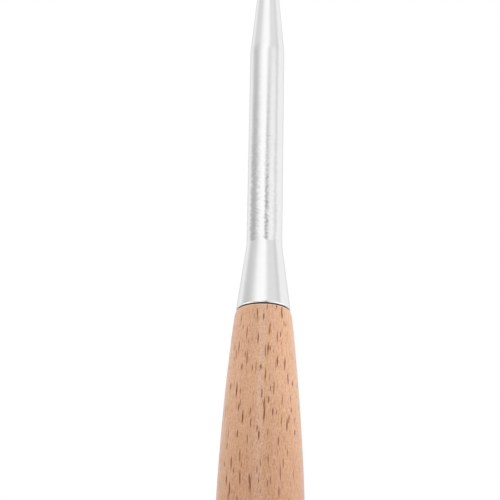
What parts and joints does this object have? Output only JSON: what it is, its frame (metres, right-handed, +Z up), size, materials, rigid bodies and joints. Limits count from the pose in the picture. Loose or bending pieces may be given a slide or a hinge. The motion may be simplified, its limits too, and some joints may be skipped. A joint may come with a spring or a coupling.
{
  "type": "scratch awl",
  "caption": "Scratch awl: long conical steel point on a round shank, flared steel ferrule and turned beech handle with a domed butt.",
  "frame": {"origin": "on the ground under the middle of the awl's length and width, with the awl lying on its side", "axes": "+Y along the awl's axis towards the point, +Z up, +X to the right when looking towards the point"},
  "size_m": [0.0158, 0.1746, 0.0158],
  "materials": {
    "ground_steel": "ground bright, fine slanting abrasive lines that coarsen towards the ferrule",
    "turned_steel": "satin, smoother than the shank, with a polished lip at the mouth",
    "beech": "sanded and sealed satin, short dark ray flecks along the grain",
    "epoxy": "cured, clear brown"
  },
  "bodies": {
    "root": {"spike": "ground_steel", "ferrule": "turned_steel", "handle": "beech", "bond": "epoxy"}
  },
  "joints": []
}
